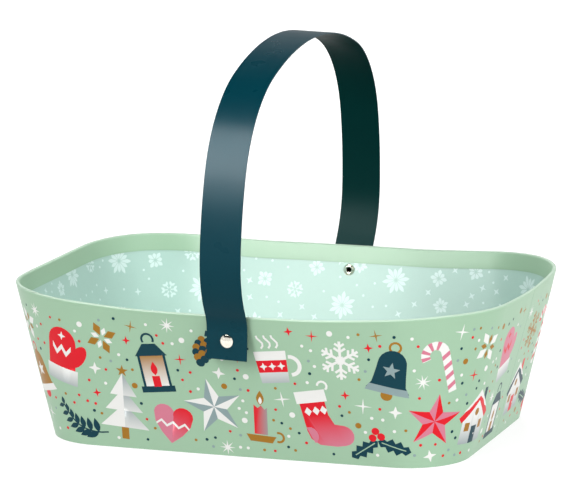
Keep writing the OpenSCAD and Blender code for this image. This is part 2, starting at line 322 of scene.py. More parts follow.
def oval(x, y, wide, high, turn=0, count=28):
    spin = Matrix.Rotation(math.radians(turn), 2)
    return [Vector((x, y)) + spin @ Vector((wide / 2 * math.cos(math.tau * i / count),
                                            high / 2 * math.sin(math.tau * i / count)))
            for i in range(count)]


def spot(x, y, across, count=12):
    return oval(x, y, across, across, 15, count)


def star(x, y, outer, inner, points, turn=90):
    return [Vector((x, y)) + polar(inner if i % 2 else outer, turn + 180 * i / points)
            for i in range(2 * points)]


def both_sides(edge, x, y, turn):
    """An outline made of one edge and its mirror image across the x axis, turned and moved."""
    spin = Matrix.Rotation(math.radians(turn), 2)
    return [Vector((x, y)) + spin @ Vector(p) for p in edge + [(a, -b) for a, b in edge[-2:0:-1]]]


def leaf(x, y, length, wide, turn, steps=6):
    """A pointed leaf from its stem end."""
    edge = [(length * i / steps, wide / 2 * math.sin(math.pi * (i / steps) ** 0.85))
            for i in range(steps + 1)]
    return both_sides(edge, x, y, turn)


def ribbon(points, wide):
    """A line of even width, its two ends cut square."""
    points = [Vector(p) for p in points]
    sides = []
    for i, p in enumerate(points):
        way = (points[min(i + 1, len(points) - 1)] - points[max(i - 1, 0)]).normalized()
        sides.append((p + Vector((-way.y, way.x)) * wide / 2, p - Vector((-way.y, way.x)) * wide / 2))
    return [a for a, b in sides] + [b for a, b in reversed(sides)]


def bar(x0, y0, x1, y1, wide):
    return ribbon([(x0, y0), (x1, y1)], wide)


def bow(x, y, r, start, end, steps=12):
    return [Vector((x, y)) + polar(r, start + (end - start) * i / steps) for i in range(steps + 1)]


def corners(*points):
    return [Vector(p) for p in points]


def block(left, low, right, high):
    return corners((left, low), (right, low), (right, high), (left, high))


def sides(loop):
    """Each point of a closed loop with the next one."""
    return list(zip(loop, loop[1:] + loop[:1]))


print("points of a five-pointed star:", len(star(0, 0, 2, 1, 5)))


# %% [markdown]
# ## The motifs
# The outside print is a cheerful winter scatter. These motifs are traditional ones, drawn about the
# origin at life size in millimetres: first what lies underneath, then what is printed over it.
# A patch holds its outline, its ink and, where it fades, a second ink with the two ends of the fade.

# %% Trees, leaves and flakes
def fir(pale, dark, trunk):
    """A tree of three tiers, the left half of each lighter than the right."""
    patches = [(bar(0, -21, 0, -12, 4), trunk)]
    for y, wide, high in ((-14, 27, 14), (-4, 21, 13), (5, 15, 13)):
        patches.append((corners((-wide / 2, y), (0, y), (0, y + high)), pale))
        patches.append((corners((0, y), (wide / 2, y), (0, y + high)), dark, pale, (0, y + high), (0, y - 4)))
    return patches + [(star(0, 19.5, 3.6, 1.4, 5), trunk)]


def holly(green, berry):
    """Two toothed leaves and three berries."""
    patches = []
    for turn in (28, 152):
        edge = [(26 * i / 8, (4.6 + (1.7 if i % 2 else -1.7)) * math.sin(math.pi * i / 8) ** 0.5)
                for i in range(9)]
        spin = Matrix.Rotation(math.radians(turn), 2)
        patches.append((both_sides(edge, 0, 0, turn), green))
        patches.append(([spin @ p for p in bar(3, 0, 22, 0, 0.8)], SAGE))
    for x, y in ((-3.2, -3.4), (3.4, -3), (0.2, -8.2)):
        patches.append((spot(x, y, 6, 16), berry))
    return patches


def twig(green):
    """A curved stem with pairs of round-ended leaves."""
    stem = [(0.02 * s * s - 3, s) for s in range(-18, 19, 4)]
    patches = [(ribbon(stem, 1.1), green)]
    for i, s in enumerate(range(-12, 19, 5)):
        for side in (-1, 1):
            size = 10.5 - i * 0.8
            patches.append((leaf(0.02 * s * s - 3, s, size, 4.6 - i * 0.25, 90 - side * 52), green))
    return patches


def flake(colour, reach=14):
    """A flake of six barbed arms round a ring."""
    patches = []
    for k in range(6):
        way, turn = polar(1, 60 * k + 30), 60 * k + 30
        patches.append((bar(*(way * 1.5), *(way * reach), 1.7), colour))
        for at, length in ((0.45, 0.34), (0.72, 0.28)):
            for side in (-55, 55):
                stem = way * (reach * at)
                patches.append((bar(*stem, *(stem + polar(reach * length, turn + side)), 1.5), colour))
    return patches + [(star(0, 0, reach * 0.27, reach * 0.16, 6, 0), colour)]


def snow_star(big, small):
    """Eight diamonds in two inks."""
    patches = []
    for k in range(8):
        way = polar(1, 45 * k + 22.5)
        side = Vector((-way.y, way.x))
        r, wide = ((13, 3.2), (9, 2))[k % 2]
        patches.append(([way * 2, way * r * 0.6 + side * wide, way * r, way * r * 0.6 - side * wide],
                        (big, small)[k % 2]))
    return patches


print("patches in a fir:", len(fir(WHITE, SMOKE, GOLD)))


# %% Mitten, stocking, bell and heart
def mitten(body, cuff, trim):
    palm = (bow(-1, 7, 9, 0, 180, 10) + corners((-10, -8), (8, -8)))
    thumb = oval(9.5, 1, 8, 15, -28, 20)
    return [(thumb, body), (palm, body),
            (block(-11.5, -17, 9.5, -8), cuff, SMOKE, (0, -8), (0, -20)),
            (corners((-7, 3), (-4, -1), (-1, 3), (2, -1), (5, 3),
                     (5, 6), (2, 2), (-1, 6), (-4, 2), (-7, 6)), trim),
            (star(-1, 11, 2.6, 1, 4), trim)]


def stocking(body, toe, cuff):
    sock = corners((-8, 12), (-8, -6), (-7, -11), (-3, -15), (6, -17)) + bow(11, -11, 6, -90, 70, 7) + \
        corners((8, -4), (6, 2), (6, 12))
    return [(sock, body, toe, (0, -2), (5, -16)),
            (block(-9.5, 10, 7.5, 17), cuff),
            (bow(-8, -9, 5.5, -62, 60, 6) + corners((-8, -4)), toe),
            (ribbon(bow(7, 19, 2.6, -60, 170, 8), 1.2), cuff)] + \
        [(corners((x - 2, 5), (x, 2.4), (x + 2, 5), (x, 7.6)), cuff) for x in (-4.5, 0, 4.2)]


def bell(body, rim, clapper):
    flare = [(-12, -11), (-9.5, -7), (-8.6, -1), (-8, 5)]
    shape = corners(*flare) + [Vector((-8 * math.cos(a), 5 + 8.6 * math.sin(a)))
                               for a in (math.pi * k / 10 for k in range(1, 10))] + \
        corners(*[(-x, y) for x, y in reversed(flare)])
    return [(ribbon(bow(0, 15.4, 3, -60, 240, 12), 1.3), clapper),
            (spot(0, -13.5, 6.6, 18), clapper), (shape, body),
            (corners((-12.4, -12.6), (12.4, -12.6), (10.6, -8.4), (-10.6, -8.4)), rim),
            (star(0, 1.5, 5, 2.1, 5), rim)]


def heart(left, right, band):
    def side(s):
        return corners((0, 5)) + [Vector((s * (6 - 6.4 * math.cos(a)), 6.5 + 6 * math.sin(a)))
                                  for a in (math.pi * k / 8 for k in range(9))] + \
            corners((s * 11.2, 0), (s * 6.5, -7), (0, -13.5))
    return [(side(-1), left), (side(1), right, left, (8, 8), (0, -12)),
            (corners((-10.6, -1), (-7.4, 2.2), (-3.7, -1), (0, 2.2), (3.7, -1), (7.4, 2.2), (10.6, -1),
                     (10.3, -2.2), (7.4, 0.4), (3.7, -2.8), (0, 0.4), (-3.7, -2.8), (-7.4, 0.4),
                     (-10.3, -2.2)), band)]


print("patches in a stocking:", len(stocking(RED, PINK, WHITE)))


# %% Star, cane, mug, cottage, lantern, candle and cone
def barn_star(light, dark, reach=17):
    """A five-pointed star folded along its ridges, half of each point in shade."""
    tips = [polar(reach, 90 + 72 * k) for k in range(5)]
    dips = [polar(reach * 0.42, 126 + 72 * k) for k in range(5)]
    patches = []
    for k in range(5):
        patches.append((corners((0, 0), tips[k], dips[k]), dark))
        patches.append((corners((0, 0), dips[k - 1], tips[k]), light))
    return patches


def cane(body, stripe):
    line = corners((0, -19), (0, -11), (0, -3), (0, 5), (0, 9)) + bow(-6.5, 9, 6.5, 0, 200, 10)
    patches = [(ribbon(line, 5.6), body)]
    for y in (-15, -8, -1, 6):
        patches.append((corners((-2.8, y - 2.2), (2.8, y + 0.4), (2.8, y + 3.4), (-2.8, y + 0.8)), stripe))
    for turn in (52, 96, 140, 178):
        middle = Vector((-6.5, 9))
        patches.append(([middle + polar(3.7, turn), middle + polar(9.3, turn),
                         middle + polar(9.3, turn + 17), middle + polar(3.7, turn + 24)], stripe))
    return patches


def mug(body, band, steam):
    return [(ribbon(bow(11, -3, 6, -90, 90, 12), 2.4), body),
            (corners((-10, 7), (-8.6, -14), (8.6, -14), (10, 7)), body, SMOKE, (0, -2), (0, -18)),
            (corners((-9.6, 1), (-9, -7), (9, -7), (9.6, 1)), band)] + \
        [(star(x, -3, 2.6, 1.1, 4), body) for x in (-5.6, 0, 5.6)] + \
        [(ribbon([(x + 1.6 * math.sin(t), 9 + t * 1.7) for t in range(6)], 1.2), steam)
         for x in (-4.6, 0, 4.6)]


def cottage(walls, roof, door, snow):
    return [(block(4.5, 8, 8.5, 17), door),
            (corners((-12, -14), (12, -14), (12, 2), (0, 12), (-12, 2)), walls, SMOKE, (0, 0), (0, -16)),
            (corners((-15.5, 1.4), (0, 15.8), (15.5, 1.4), (13, -1.6), (0, 10.6), (-13, -1.6)), roof),
            (corners((-13.2, 4.6), (0, 17), (13.2, 4.6), (9, 6.2),
                     (5, 10.4), (0, 13.2), (-5, 10), (-9, 6.4)), snow),
            (block(-3, -14, 3, -4), door), (spot(1.6, -9, 1.2, 8), snow)] + \
        [(block(x - 2.2, -6.5, x + 2.2, -1.6), GOLD) for x in (-7.4, 7.4)] + \
        [(spot(0, 4, 4.4, 14), GOLD)]


def lantern(frame_ink, glow, flame):
    return [(ribbon(bow(0, 15, 3.4, -30, 210, 12), 1.3), frame_ink),
            (block(-8, -14, 8, 6), glow, WHITE, (0, 6), (0, -14)),
            (corners((-9.6, 5), (9.6, 5), (4, 12.4), (-4, 12.4)), frame_ink),
            (block(-10, -17.4, 10, -13.6), frame_ink),
            (bar(-7.6, -14, -7.6, 6, 1.5), frame_ink), (bar(7.6, -14, 7.6, 6, 1.5), frame_ink),
            (bar(0, -14, 0, -7.4, 4.6), flame), (leaf(0, -7, 8.4, 4, 90), flame)]


def candle(wax, holder, flame):
    return [(corners((-4, -10), (4, -10), (4, 8), (2.4, 6.4), (0.4, 9), (-1.6, 7), (-4, 9)),
             wax, SMOKE, (-2, 0), (5, 0)),
            (corners((-9, -10.6), (9, -10.6), (6.6, -15), (-6.6, -15)), holder),
            (ribbon(bow(10.4, -10.6, 3, -110, 110, 10), 1.4), holder),
            (leaf(0, 9, 9.5, 4.6, 90), flame), (leaf(0, 9.6, 5, 2.2, 90), WHITE)]


def cone(scale, edge):
    patches = [(bar(0, 12, 0, 17, 1.8), edge)]
    for row, (y, wide) in enumerate(((8, 10), (4, 14), (0, 16), (-4, 15), (-8, 11), (-12, 6))):
        count = max(1, round(wide / 4.6))
        for k in range(count):
            x = (k - (count - 1) / 2) * wide / count
            patches.append((oval(x, y, wide / count + 1.2, 6.6, 0, 14), edge if (row + k) % 2 else scale))
    return patches


print("motif drawings ready")

# %% [markdown]
# ## Laying out the outside print
# The printer's sheet repeats twice round the trug, so one layout is made for half the way round, a
# long side with half of each short side, and used again for the other half. Each motif gets a
# distance round the wall, a height up it, a tilt and a size.

# %% A stamp that puts a drawing on a flat sheet
class Print:
    """The patches of ink on one flat sheet, in the order that they are printed."""

    def __init__(self, sheet):
        self.sheet, self.patches, self.taken = sheet, [], []

    def stamp(self, drawing, along, height, turn=0, scale=1.0, reach=0):
        """Prints a drawing at a distance round and a height; reach is the room that it takes up."""
        middle, up = self.sheet.stand(along, height)
        spin = Matrix.Rotation(math.atan2(up.y, up.x) - math.pi / 2 + math.radians(turn), 2) * scale
        for patch in drawing:
            outline = [middle + spin @ p for p in patch[0]]
            if len(patch) > 2:
                start, end = (middle + spin @ Vector(p) for p in patch[3:5])
                fade = (start, (end - start) / (end - start).length_squared)
                self.patches.append((outline, patch[1], patch[2], fade))
            else:
                self.patches.append((outline, patch[1], None, None))
        self.taken.append((middle, reach))

    def room(self, place):
        """How much free paper lies round a place, given as a distance along and a height."""
        middle = self.sheet.stand(*place)[0]
        return min(((middle - p).length - r for p, r in self.taken), default=99)


print("free paper on an empty sheet, at most:", Print(outside).room((0, 0)))


# %% The layout of half the way round
HALF_ROUND = outside.round / 2
BIG = [
    (cottage(WHITE, TEAL, RED, WHITE), 22, 33, 4, 1.22),
    (flake(GOLD), 27, 76, 12, 1.05),
    (cane(WHITE, RED), 60, 66, -14, 1.15),
    (holly(TEAL, RED), 66, 16, 8, 0.92),
    (bell(GOLD, WHITE, RED), 99, 51, 12, 1.15),
    (snow_star(WHITE, GOLD), 97, 87, 0, 0.95),
    (mitten(RED, WHITE, WHITE), 132, 69, -12, 1.3),
    (twig(TEAL), 134, 17, 62, 1.05),
    (fir(WHITE, SMOKE, GOLD), 171, 35, -4, 1.32),
    (snow_star(GOLD, WHITE), 166, 85, 0, 0.95),
    (lantern(TEAL, GOLD, RED), 200, 68, 6, 1.25),
    (heart(PINK, RED, WHITE), 206, 22, -10, 1.15),
    (barn_star(WHITE, BLUE), 240, 38, 10, 1.3),
    (cone(GOLD, TEAL), 238, 82, -16, 0.9),
    (candle(RED, GOLD, GOLD), 274, 31, -4, 1.2),
    (mug(WHITE, RED, WHITE), 285, 76, 6, 1.15),
    (stocking(RED, PINK, WHITE), 317, 34, 10, 1.3),
    (flake(WHITE, 13), 332, 80, 0, 1.1),
    (bell(TEAL, BLUE, GOLD), 366, 72, -12, 1.25),
    (holly(TEAL, RED), 361, 20, -172, 0.92),
    (barn_star(RED, PINK), 400, 35, -6, 1.2),
    (cane(WHITE, PINK), 404, 77, 16, 1.1),
    (cottage(WHITE, RED, TEAL, WHITE), 440, 31, -3, 1.25),
    (snow_star(WHITE, GOLD), 438, 85, 10, 1.0),
    (mitten(PINK, WHITE, RED), 478, 73, 10, 1.15),
    (lantern(TEAL, WHITE, GOLD), 484, 27, 2, 1.1),
]
outside_print = Print(outside)
for half in (0, 1):
    for drawing, along, height, turn, scale in BIG:
        outside_print.stamp(drawing, along + half * HALF_ROUND, height, turn, scale)
print("half way round: %.0f mm, motifs: %d" % (HALF_ROUND, 2 * len(BIG)))

# %% [markdown]
# ## Confetti between the motifs
# Sparkles, small stars and dots fill the gaps of the print. A plain random choice would leave clumps
# and holes, so each one tries a few random places and takes the one with the most free paper round
# it, which is how an even but lively scatter is drawn. The random choice is seeded, so the print
# comes out the same each time.

# %% How much paper is free round a place
def edge_marks(outline, step=2.5):
    """Points along an outline, close enough together to measure a distance from."""
    marks = []
    for a, b in sides(outline):
        pieces = max(1, round((b - a).length / step))
        marks += [a.lerp(b, k / pieces) for k in range(pieces)]
    return marks


def covers(outline, p):
    """Whether an outline goes round a point, found by counting the sides to its right."""
    inside = False
    for a, b in sides(outline):
        if (a.y > p.y) != (b.y > p.y) and p.x < a.x + (p.y - a.y) * (b.x - a.x) / (b.y - a.y):
            inside = not inside
    return inside


MOTIF_REACH = 50
placed = [[Vector((along, height)) + Matrix.Rotation(math.radians(turn), 2) @ p * scale
           for p in patch[0]] for drawing, along, height, turn, scale in BIG for patch in drawing]
marks = [mark for outline in placed for mark in edge_marks(outline)]
motif_edges = KDTree(len(marks))
for i, mark in enumerate(marks):
    motif_edges.insert((mark.x, mark.y, 0), i)
motif_edges.balance()
confetti = []


def free_paper(p):
    """How far the nearest print is from a point, or less than nothing inside a motif."""
    near = min([motif_edges.find((p.x, p.y, 0))[2]] + [(p - q).length - r for q, r in confetti])
    if any(abs(o[0].x - p.x) < MOTIF_REACH and covers(o, p) for o in placed):
        return -near
    return near


print("marks along the motifs' outlines:", len(marks))


# %% Sparkles, stars and dots
SPECKS = [  # outline, ink, reach, how many
    (star(0, 0, 6.2, 0.9, 4), WHITE, 5, 6), (star(0, 0, 5.8, 1.5, 8), WHITE, 5.4, 6),
    (star(0, 0, 4.6, 0.8, 4), RED, 4, 6), (star(0, 0, 4.8, 1.7, 4), WHITE, 4, 6),
    (star(0, 0, 4.8, 0.8, 4), GOLD, 4, 5), (star(0, 0, 3.4, 1.2, 4), RED, 3, 6),
    (spot(0, 0, 4.2, 14), WHITE, 2.1, 9), (spot(0, 0, 4.4, 14), GOLD, 2.2, 9),
]
DOTS = [(spot(0, 0, across, 9), colour, across / 2) for across, colour in (
    (2.3, RED), (2.4, TEAL), (2.4, WHITE), (2.2, RED), (2.2, GOLD),
    (2.2, TEAL), (2.2, BLUE), (2.3, WHITE), (2.1, RED), (2.2, GOLD))]
SPECK_GAP, DOT_GAP, DOT_COUNT = 2.5, 3.1, 300
PLACES_TRIED, SIDE_MARGIN, LOWEST, HIGHEST, TILT = 12, 8, 6.5, 101, 12
dice = random.Random(24)


def drop(outline, colour, reach, gap):
    """Prints a speck at the freest of some random places, unless all are crowded."""
    places = [Vector((dice.uniform(SIDE_MARGIN, HALF_ROUND - SIDE_MARGIN), dice.uniform(LOWEST, HIGHEST)))
              for _ in range(PLACES_TRIED)]
    freedom, best = max((free_paper(p), k) for k, p in enumerate(places))
    if freedom > reach + gap:
        confetti.append((places[best], reach))
        for half in (0, 1):
            outside_print.stamp([(outline, colour)], places[best].x + half * HALF_ROUND, places[best].y,
                                dice.uniform(-TILT, TILT))


for outline, colour, reach, count in SPECKS:
    for _ in range(count):
        drop(outline, colour, reach, SPECK_GAP)
for attempt in range(DOT_COUNT):
    drop(*DOTS[attempt % len(DOTS)], DOT_GAP)
print("specks:", 2 * len(confetti), "patches in all:", len(outside_print.patches))

# %% [markdown]
# ## Turning a print into a surface
# The flat sheet, its column lines and every ink outline go to Blender's own Delaunay triangulation,
# which cuts them into triangles that never cross an ink edge or a column. Each triangle knows which
# patches it lies in, and the last one printed gives its colour. The colour is kept on the triangle's
# corners, so edges stay crisp at any distance and a fade comes out exact. The triangles are then
# carried back to the wall. An operator can't do that, so the printed papers are the one place where
# meshes are built from points. Every corner also gets the smooth wall's true direction, so that thin
# triangles in the rounded corners don't show in the shading.

# %% A skin that collects faces with their corner values
NO_WAY = Vector((0, 0, 0))  # a corner with this keeps the direction that Blender works out


class Skin:
    """Points and faces of a piece, with an ink, a map place and sometimes a direction per corner."""

    def __init__(self):
        self.points, self.faces, self.ways, self.inks, self.places, self.sharp = [], [], [], [], [], []

    def point(self, p):
        self.points.append(p * MM)
        return len(self.points) - 1

    def face(self, ids, inks, places, ways=None):
        self.faces.append(tuple(ids))
        self.inks.extend(inks)
        self.places.extend(places)
        self.ways.extend(ways or [NO_WAY] * len(ids))

    def open_edges(self):
        """How many edges don't have exactly two faces, running opposite ways."""
        runs = [pair for face in self.faces for pair in sides(face)]
        once = set(runs)
        return len(runs) - len(once) + sum((b, a) not in once for a, b in runs)

    def piece(self, name):
        mesh = bpy.data.meshes.new(name)
        mesh.from_pydata(self.points, [], self.faces)
        colours = mesh.color_attributes.new(name="ink", type="FLOAT_COLOR", domain="CORNER")
        colours.data.foreach_set("color", [c for i in self.inks for c in (*i, 1.0)])
        uv = mesh.uv_layers.new(name="OFBake")
        uv.data.foreach_set("uv", [c for p in self.places for c in p])
        mesh.polygons.foreach_set("use_smooth", [True] * len(mesh.polygons))
        folds = {tuple(sorted(pair)) for pair in self.sharp}
        for edge in mesh.edges:
            edge.use_edge_sharp = tuple(sorted(edge.vertices)) in folds
        mesh.update()
        print(name, "needed mending:", mesh.validate(), "edges used other than twice:", self.open_edges())
        mesh.normals_split_custom_set([tuple(w) for w in self.ways])
        return put_in_scene(name, mesh)


def ink_at(patch, p):
    """A patch's ink at a flat place, part of the way to its second ink where it fades."""
    outline, first, second, fade = patch
    if second is None:
        return first
    share = min(max((p - fade[0]).dot(fade[1]), 0), 1)
    return tuple(a + (b - a) * share for a, b in zip(first, second))


def left_round(outline):
    """The same outline, running anticlockwise, because the inside is taken to be on its left."""
    area = sum(a.x * b.y - a.y * b.x for a, b in sides(outline))
    return outline if area > 0 else outline[::-1]


def triangles(cells, patches, holes):
    """Cuts a flat sheet of cells along its ink outlines: points, and faces with cell and patch."""
    points, faces = [], []
    for outline in cells + [patch[0] for patch in patches] + holes:
        faces.append(list(range(len(points), len(points) + len(outline))))
        points.extend(left_round([Vector(p) for p in outline]))
    found, _, cut, came_from, _, lies_in = delaunay_2d_cdt(points, [], faces, 1, 1e-6, True)
    first_patch, first_hole = len(cells), len(cells) + len(patches)
    kept = []
    for face, owners in zip(cut, lies_in):
        cell = [k for k in owners if k < first_patch]
        if cell and max(owners) < first_hole:
            over = [k for k in owners if first_patch <= k]
            kept.append((face, cell[0], patches[max(over) - first_patch] if over else None))
    return found, kept, came_from


# %% [markdown]
# ## The printed wrap
# One sheet of paper does everything on the outside: it covers the wall, rolls over the rim, shows
# inside as the plain band and turns under the base. The print covers the wall part alone. The rest
# is carried round the columns as rows, as the CAD source does. The wrap has a hole at each pivot.
# The printed part and the rows share the points where columns meet them, so the sheet is closed.

# %% The pivot holes on a flat sheet
PIVOT_COLUMNS = 6


def pivot_outline(sheet, side, across, count=24, top=None):
    """A round hole along the pivot line, as it falls on the front (-1) or back (1) of a sheet.

    With a top, the hole is cut off level at that height above the pivot."""
    middle = COUNT * 3 // 4 if side < 0 else COUNT // 4
    outline = []
    for k in range(count):
        x = PIVOT_X + across / 2 * math.cos(math.tau * k / count)
        z = PIVOT_Z + across / 2 * math.sin(math.tau * k / count)
        if top is not None:
            z = min(z, PIVOT_Z + top)
        for i in range(middle - PIVOT_COLUMNS, middle + PIVOT_COLUMNS):
            left, right = (wall_point(c, sheet.depth, z) for c in (columns[i], columns[i + 1]))
            w = (x - left.x) / (right.x - left.x)
            if 0 <= w <= 1:
                outline.append(sheet.flat(i, left.lerp(right, w)))
                break
    return outline


SHANK_HOLE = 4.66
holes = [pivot_outline(outside, side, SHANK_HOLE) for side in (-1, 1)]
found, kept, came_from = triangles([outside.quad(i) for i in range(COUNT)], outside_print.patches, holes)
print("printed part:", len(kept), "triangles,", len(found), "points")

# %% Where each point of the printed part lies
STRIPS, STRIP_HIGH, MAP_MARGIN = 3, 160, 0.01
# Where each part of a sheet starts in a strip of the map, and how high it is there.
FRONT_ON_MAP, BACK_ON_MAP, HOLES_ON_MAP, UNDER_ON_MAP = (20, 115), (0, 2), (2, 1), (3, 16)
ROLL_ON_MAP, LINING_ON_MAP = (135, 22), (4, 146)


def map_place(i, w, part, share):
    """A place on the piece's own map, where the way round is cut into strips above each other."""
    strip = i * STRIPS // COUNT
    first, last = -(-strip * COUNT // STRIPS), -(-(strip + 1) * COUNT // STRIPS)
    along = outside.along[i] * (1 - w) + outside.along[i + 1] * w
    length = outside.along[last] - outside.along[first]
    return ((along - outside.along[first]) / length * (1 - 2 * MAP_MARGIN) + MAP_MARGIN,
            (part[0] + part[1] * share + 2 + STRIP_HIGH * strip) / (STRIP_HIGH * STRIPS))


def map_corners(i, part, low, high):
    """The map places of a face that spans facet i, between two shares of a part's height."""
    return [map_place(i, w, part, share) for w, share in ((0, low), (1, low), (1, high), (0, high))]


def column_point(came):
    """The column and edge that a point stands on, 0 for low and 1 for high, or None inside the sheet."""
    for k in came:
        if k < 4 * COUNT:
            return (k // 4 + (k % 4 in (1, 2))) % COUNT, int(k % 4 > 1)
    return None


wrap = Skin()
owner, front, back = {}, {}, {}
on_column = {}
for face, cell, patch in kept:
    for p in face:
        owner.setdefault(p, cell)
for p, cell in owner.items():
    w, s = outside.share(cell, found[p])
    place = column_point(came_from[p])
    if place in on_column:
        front[p], back[p] = on_column[place]
        continue
    front[p] = wrap.point(on_wall(cell, w, s, 0, outside.low, outside.high))
    back[p] = wrap.point(on_wall(cell, w, s, PAPER, lambda c: WRAP_Z + PAPER, rim_edge))
    if place:
        on_column[place] = (front[p], back[p])
print("points on both edges:", len(on_column), "of", 2 * COUNT)

# %% The printed faces, front and back
def facing(i, w):
    """The smooth wall's outward direction, part of the way across facet i."""
    return outward(columns[i]).lerp(outward(columns[(i + 1) % COUNT]), w).normalized()


for face, cell, patch in kept:
    shares = [outside.share(cell, found[p]) for p in face]
    inks = [ink_at(patch, found[p]) if patch else SAGE for p in face]
    wrap.face([front[p] for p in face], inks, [map_place(cell, w, FRONT_ON_MAP, s) for w, s in shares],
              [facing(cell, w) for w, s in shares])
    wrap.face([back[p] for p in reversed(face)], [SAGE] * 3,
              [map_place(cell, w, BACK_ON_MAP, s) for w, s in reversed(shares)],
              [-facing(cell, w) for w, s in reversed(shares)])
print("faces so far:", len(wrap.faces))

# %% The edges of the pivot holes
edges = {pair for face, cell, patch in kept for pair in sides(face)}
edge_points = {p for p in owner if column_point(came_from[p])}
for a, b in edges:
    if (b, a) not in edges and not (a in edge_points and b in edge_points):
        wrap.face([front[b], front[a], back[a], back[b]], [SAGE] * 4,
                  map_corners(0, HOLES_ON_MAP, 0, 1))
        wrap.sharp += [(front[a], front[b]), (back[a], back[b])]
print("faces in the edges of the holes:", len(wrap.faces) - 2 * len(kept))


# %% The rows over the rim and under the base
def arc_rows(r, start, end, steps=6):
    """Depths and heights along an arc over the rim, whose middle is inside the rim's thickness."""
    turns_of = [math.radians(start + (end - start) * k / steps) for k in range(steps + 1)]
    return [(RIM_THICK / 2 - r * math.cos(a), r * math.sin(a) - RIM_THICK / 2) for a in turns_of]


over_rim = ([(d, z, 0) for d, z in arc_rows(RIM_THICK / 2, 0, 180)[1:]]
            + [(RIM_THICK, -TURN_IN, 1), (BAND_OUT, -TURN_IN, 1)]
            + [(d, z, 0) for d, z in arc_rows(RIM_THICK / 2 - PAPER, 180, 0)[:-1]])
rows = [[on_column[(i, 1)][0] for i in range(COUNT)]]
for depth, z, fold in over_rim:
    rows.append([wrap.point(wall_point(c, depth, rim_z(c) + z)) for c in columns])
    if fold:
        wrap.sharp += sides(rows[-1])
rows.append([on_column[(i, 1)][1] for i in range(COUNT)])
under = [[on_column[(i, 0)][1] for i in range(COUNT)]]
for depth, z in ((TURN_UNDER, WRAP_Z + PAPER), (TURN_UNDER, WRAP_Z)):
    under.append([wrap.point(wall_point(c, depth, z)) for c in columns])
    wrap.sharp += sides(under[-1])
under.append([on_column[(i, 0)][0] for i in range(COUNT)])
wrap.sharp += sides(under[0]) + sides(under[-1])
fold_highlight_share = [0, 0.5, 1, 1, 0.8, 0.4] + [0] * (len(rows) - 6)  # painted highlight: the fold is paler along its top, where it rolls over the rim
fold_highlight_ink = [[round(a + (b - a) * w, 4) for a, b in zip(SAGE, FOLD_HIGHLIGHT)] for w in fold_highlight_share]
for run, part in ((rows, ROLL_ON_MAP), (under, UNDER_ON_MAP)):
    last = len(run) - 1
    for j in range(last):
        below, above = (fold_highlight_ink[j], fold_highlight_ink[j + 1]) if run is rows else (SAGE, SAGE)
        for i in range(COUNT):
            k = (i + 1) % COUNT
            ways = None
            if run is rows and j == 0:
                ways = [outward(columns[i]), outward(columns[k]), NO_WAY, NO_WAY]
            wrap.face([run[j][i], run[j][k], run[j + 1][k], run[j + 1][i]], [below, below, above, above],
                      map_corners(i, part, j / last, (j + 1) / last), ways)
printed_wrap = wrap.piece("printed_wrap")
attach(printed_wrap, "tray")
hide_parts("outer_wrap")
print("printed wrap:", len(printed_wrap.data.polygons), "faces")

# %% [markdown]
# ## The snowflake lining
# The inside is lined with a pale paper on which flakes are printed a shade lighter: many-petalled
# ones, small six-armed ones and dots. The band covers the lining's top edge and cuts through the
# flakes, and the floor cuts them too, because the printer's pattern runs on past both edges.
# The same cutting does it, and what falls off the sheet is left out.

# %% Flakes for the lining
def petals(count, reach, wide, hollow=1.0):
    """A flake of pointed petals that are widest past their middle, every other one shorter."""
    patches = []
    for k in range(count):
        turn, length = 360 * k / count, reach * (1 if k % 2 == 0 else 0.8) - hollow
        edge = [(x * length, y * wide / 2) for x, y in ((0, 0), (0.35, 0.62), (0.66, 1), (0.86, 0.6), (1, 0))]
        patches.append((both_sides(edge, *polar(hollow, turn), turn), FROST))
    return patches


def forked(reach):
    """A small flake of six forked arms round an open middle."""
    patches = []
    for k in range(6):
        turn = 60 * k
        stem = polar(reach * 0.5, turn)
        patches.append((bar(*polar(reach * 0.16, turn), *polar(reach * 0.62, turn), reach * 0.13), FROST))
        for side in (-1, 1):
            patches.append((leaf(*stem, reach * 0.52, reach * 0.3, turn + 38 * side, 3), FROST))
    return patches


FLAKES = [  # drawing, reach, how many
    (petals(12, 10.6, 3.0), 10.6, 34), (petals(8, 6.6, 3.0), 6.6, 22),
    (forked(6.6), 6.6, 30), (petals(10, 6.2, 2.3), 6.2, 20),
    ([(star(0, 0, 3, 1, 4), FROST)], 2.6, 90), ([(spot(0, 0, 1.9, 7), FROST)], 1, 150),
]
FLAKE_PLACES, FLAKE_GAP, FLAKE_MARGIN, FLAKE_LOW, FLAKE_HIGH = 10, 1.5, 13, 12.5, 99


def scatter_flakes(target, place, share, seed):
    """Drops the flakes where a sheet is freest, large ones first, the same each time."""
    chance = random.Random(seed)
    for drawing, reach, count in FLAKES:
        for _ in range(round(count * share)):
            best = max((place(chance) for _ in range(FLAKE_PLACES)), key=target.room)
            if target.room(best) > reach + FLAKE_GAP:
                target.stamp(drawing, *best, chance.uniform(0, 60), reach=reach)


inside_print = Print(inside)
scatter_flakes(inside_print, lambda r: (r.uniform(FLAKE_MARGIN, inside.round - FLAKE_MARGIN),
                                        r.uniform(FLAKE_LOW, FLAKE_HIGH)), share=1, seed=11)
print("lining patches:", len(inside_print.patches))

# %% The wall lining, cut and closed
# A rivet's washer lies in a level seat. The wall leans, so it leaves the seat a little above the pivot.
SEAT_WIDE, SEAT_TOP, SEAT_POINTS = 8.7, 1.6, 32


